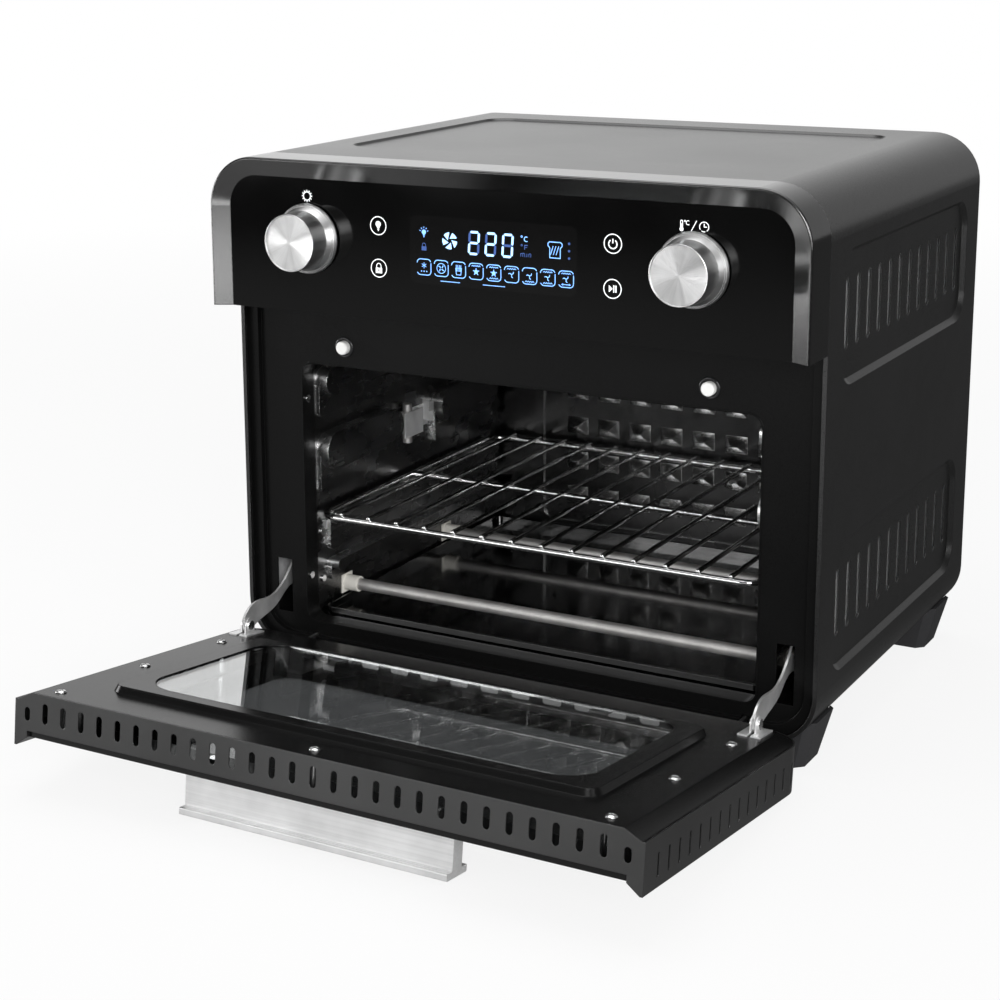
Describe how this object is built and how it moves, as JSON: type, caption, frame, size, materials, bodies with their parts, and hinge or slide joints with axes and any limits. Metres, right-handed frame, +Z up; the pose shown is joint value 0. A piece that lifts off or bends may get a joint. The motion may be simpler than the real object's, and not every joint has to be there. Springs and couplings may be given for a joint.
{
  "type": "electric countertop oven",
  "caption": "Box-shaped countertop convection oven with a bottom-hinged drop-down glass door, a wire rack, a touch panel and two turning knobs.",
  "frame": {"origin": "on the table under the middle of the part's overall box, as it stands with its door open", "axes": "+Z up, -Y out of the oven's mouth towards the cook, +X to the cook's right"},
  "size_m": [0.4, 0.5286, 0.35],
  "materials": {
    "cabinet_paint": "satin black powder coat on steel sheet",
    "frame_paint": "smooth black enamel on steel sheet",
    "inner_steel": "bright coated steel sheet of the cavity",
    "plain_steel": "plain zinc coated steel",
    "arm_steel": "bright pressed steel",
    "screw_steel": "bright zinc plated",
    "rod_steel": "pale tubular heater sheath",
    "rack_chrome": "bright chrome plated wire",
    "spun_aluminium": "spun and turned, satin",
    "handle_aluminium": "extruded, brushed along its length",
    "bezel_paint": "dark metallic with bright bevels",
    "black_glass": "gloss black backed glass",
    "tinted_glass": "dark tinted tempered glass",
    "clear_glass": "clear tempered glass",
    "collar_plastic": "gloss black",
    "foot_plastic": "matte black",
    "bumper_rubber": "white silicone rubber",
    "ceramic": "white ceramic",
    "board": "glass fibre circuit board",
    "display": "display module in its carrier",
    "motor_steel": "laminated steel motor",
    "spring_steel": "tension spring wire"
  },
  "bodies": {
    "cabinet": {"outer_shell": "cabinet_paint", "side_linings": "plain_steel", "base_plate": "plain_steel", "back_panel": "cabinet_paint", "cord_gland": "foot_plastic", "rear_screws": "screw_steel", "front_frame": "frame_paint", "door_bumpers": "bumper_rubber", "cavity_left_wall": "inner_steel", "cavity_right_wall": "inner_steel", "cavity_floor": "inner_steel", "cavity_ceiling": "inner_steel", "cavity_back_wall": "inner_steel", "cavity_screws": "screw_steel", "crumb_tray": "inner_steel", "lower_heaters": "rod_steel", "upper_heaters": "rod_steel", "heater_ceramics": "ceramic", "sensor_bracket": "plain_steel", "sensor_probe": "rod_steel", "control_bezel": "bezel_paint", "control_glass": "black_glass", "display_module": "display", "control_board": "board", "touch_springs": "spring_steel", "encoders": "display", "knob_collars": "collar_plastic", "fan_housing": "plain_steel", "motor_bracket": "plain_steel", "fan_motor": "motor_steel", "power_board": "board", "front_feet": "foot_plastic", "rear_feet": "foot_plastic", "hinge_brackets": "plain_steel", "hinge_pins": "screw_steel", "arm_guides": "plain_steel", "door_springs": "spring_steel", "spring_anchors": "plain_steel"},
    "door": {"door_shell": "cabinet_paint", "door_inner_frame": "frame_paint", "outer_glass": "tinted_glass", "outer_glass_frame": "frame_paint", "inner_glass": "clear_glass", "inner_glass_clips": "plain_steel", "door_spacers": "screw_steel", "door_screws": "screw_steel", "door_handle": "handle_aluminium", "handle_screws": "screw_steel", "door_hinge_tabs": "plain_steel", "arm_ears": "arm_steel", "ear_rivets": "screw_steel"},
    "left_arm": {"left_arm": "arm_steel"},
    "right_arm": {"right_arm": "arm_steel"},
    "rack": {"wire_rack": "rack_chrome"},
    "function_dial": {"function_knob": "spun_aluminium", "function_shaft": "screw_steel"},
    "temperature_dial": {"temperature_knob": "spun_aluminium", "temperature_shaft": "screw_steel"},
    "fan": {"convection_fan": "plain_steel", "fan_shaft": "screw_steel"}
  },
  "joints": [
    {"name": "door_hinge", "type": "hinge", "parent": "cabinet", "child": "door", "pos_m": [0, -0.03467, 0.022], "axis": [-1, 0, 0], "range_deg": [0, 83], "deforming": ["door_springs"]},
    {"name": "left_arm_pivot", "type": "hinge", "parent": "door", "child": "left_arm", "pos_m": [-0.177, -0.06119, 0.0439], "axis": [1, 0, 0], "range_deg": [0, 83]},
    {"name": "right_arm_pivot", "type": "hinge", "parent": "door", "child": "right_arm", "pos_m": [0.177, -0.06119, 0.0439], "axis": [1, 0, 0], "range_deg": [0, 83]},
    {"name": "rack_slide", "type": "slide", "parent": "cabinet", "child": "rack", "axis": [0, 1, 0], "range_m": [-0.2, 0]},
    {"name": "function_turn", "type": "hinge", "parent": "cabinet", "child": "function_dial", "pos_m": [-0.129, -0.06166, 0.301], "axis": [0, 1, 0], "continuous": true},
    {"name": "temperature_turn", "type": "hinge", "parent": "cabinet", "child": "temperature_dial", "pos_m": [0.129, -0.06166, 0.301], "axis": [0, 1, 0], "continuous": true},
    {"name": "fan_spin", "type": "hinge", "parent": "cabinet", "child": "fan", "pos_m": [0, 0.11933, 0.232], "axis": [0, 0, 1], "continuous": true}
  ],
  "couplings": [
    {"joint": "left_arm_pivot", "follows": "door_hinge", "ratio": 1},
    {"joint": "right_arm_pivot", "follows": "door_hinge", "ratio": 1}
  ]
}
